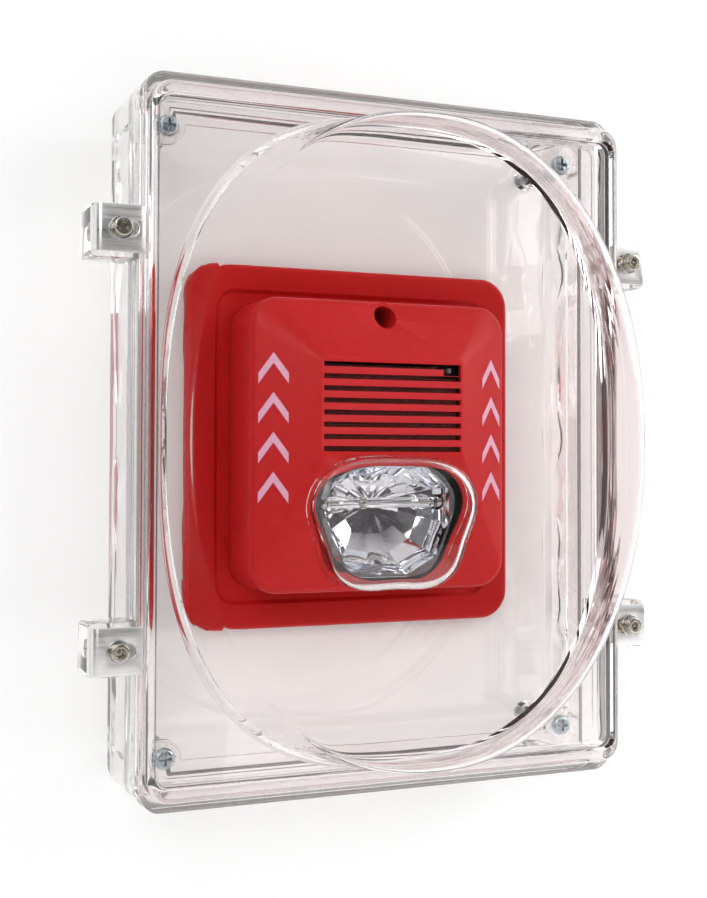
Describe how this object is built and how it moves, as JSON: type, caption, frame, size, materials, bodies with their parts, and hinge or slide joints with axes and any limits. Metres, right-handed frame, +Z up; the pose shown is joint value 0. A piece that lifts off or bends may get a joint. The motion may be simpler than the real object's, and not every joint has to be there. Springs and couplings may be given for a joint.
{
  "type": "wall horn strobe in clear protective enclosure",
  "caption": "Red wall horn strobe on a square trim plate inside a clear protective enclosure with an oval domed cover held by steel clips.",
  "frame": {"origin": "centre of the enclosure's back face, between the four wall screws", "axes": "+X right, +Z up, +Y into the wall; the front of the object faces -Y"},
  "size_m": [0.242, 0.1135, 0.2764],
  "materials": {
    "clear": "clear moulded polycarbonate, polished",
    "silicone": "translucent silicone, matt",
    "black_rubber": "black neoprene, matt",
    "brass": "turned",
    "zinc": "bright zinc plate",
    "screw_steel": "turned stainless steel",
    "stainless": "brushed along the bend",
    "red_paint": "satin red powder coat",
    "red_plastic": "fine moulded grain, satin",
    "black_plastic": "black, satin",
    "grey_plastic": "dark grey, satin",
    "green_plastic": "green, satin",
    "chrome": "vacuum metallised, faceted",
    "tube_glass": "clear quartz",
    "nickel": "nickel plate",
    "board": "green solder mask",
    "capacitor_sleeve": "dark sleeve",
    "coil": "enamelled copper winding",
    "black_cloth": "black woven screen",
    "pale_marks": "pale printed marks"
  },
  "bodies": {
    "base": {"back_box": "clear", "mount_frame": "clear", "frame_gasket": "silicone", "cover_gasket": "black_rubber", "cable_grommet": "black_rubber", "threaded_inserts": "brass", "wall_screws": "zinc", "trim_plate": "red_paint", "trim_screws": "zinc", "horn_base": "black_plastic", "horn_housing": "red_plastic", "strobe_lens": "clear", "reflector": "chrome", "flash_tube": "tube_glass", "tube_end_caps": "nickel", "trigger_band": "nickel", "circuit_board": "board", "board_screws": "zinc", "terminal_block": "green_plastic", "terminal_screws": "zinc", "flash_capacitor": "capacitor_sleeve", "trigger_transformer": "black_plastic", "boost_coil": "coil", "sounder_cup": "black_plastic", "sounder_disc": "brass", "sounder_ring": "black_plastic", "disc_clamp_ring": "black_plastic", "grille_screen": "black_cloth", "selector_body": "black_plastic", "housing_screw": "zinc", "side_marks": "pale_marks"},
    "cover": {"dome_cover": "clear"},
    "selector": {"selector_slider": "grey_plastic"},
    "clip_top_left": {"clip_top_left": "stainless"},
    "screw_top_left": {"clip_screw_top_left": "screw_steel", "washer_top_left": "stainless"},
    "clip_top_right": {"clip_top_right": "stainless"},
    "screw_top_right": {"clip_screw_top_right": "screw_steel", "washer_top_right": "stainless"},
    "clip_bottom_left": {"clip_bottom_left": "stainless"},
    "screw_bottom_left": {"clip_screw_bottom_left": "screw_steel", "washer_bottom_left": "stainless"},
    "clip_bottom_right": {"clip_bottom_right": "stainless"},
    "screw_bottom_right": {"clip_screw_bottom_right": "screw_steel", "washer_bottom_right": "stainless"}
  },
  "joints": [
    {"name": "cover_lift", "type": "slide", "parent": "base", "child": "cover", "axis": [0, -1, 0], "range_m": [0, 0.12]},
    {"name": "selector_slide", "type": "slide", "parent": "base", "child": "selector", "axis": [1, 0, 0], "range_m": [-0.0015, 0.0015]},
    {"name": "clip_slide_top_left", "type": "slide", "parent": "cover", "child": "clip_top_left", "axis": [-1, 0, 0], "range_m": [0, 0.003]},
    {"name": "screw_turn_top_left", "type": "hinge", "parent": "cover", "child": "screw_top_left", "pos_m": [-0.1105, -0.0545, 0.0775], "axis": [0, 1, 0], "continuous": true},
    {"name": "clip_slide_top_right", "type": "slide", "parent": "cover", "child": "clip_top_right", "axis": [1, 0, 0], "range_m": [0, 0.003]},
    {"name": "screw_turn_top_right", "type": "hinge", "parent": "cover", "child": "screw_top_right", "pos_m": [0.1105, -0.0545, 0.0775], "axis": [0, 1, 0], "continuous": true},
    {"name": "clip_slide_bottom_left", "type": "slide", "parent": "cover", "child": "clip_bottom_left", "axis": [-1, 0, 0], "range_m": [0, 0.003]},
    {"name": "screw_turn_bottom_left", "type": "hinge", "parent": "cover", "child": "screw_bottom_left", "pos_m": [-0.1105, -0.0545, -0.0775], "axis": [0, 1, 0], "continuous": true},
    {"name": "clip_slide_bottom_right", "type": "slide", "parent": "cover", "child": "clip_bottom_right", "axis": [1, 0, 0], "range_m": [0, 0.003]},
    {"name": "screw_turn_bottom_right", "type": "hinge", "parent": "cover", "child": "screw_bottom_right", "pos_m": [0.1105, -0.0545, -0.0775], "axis": [0, 1, 0], "continuous": true}
  ]
}
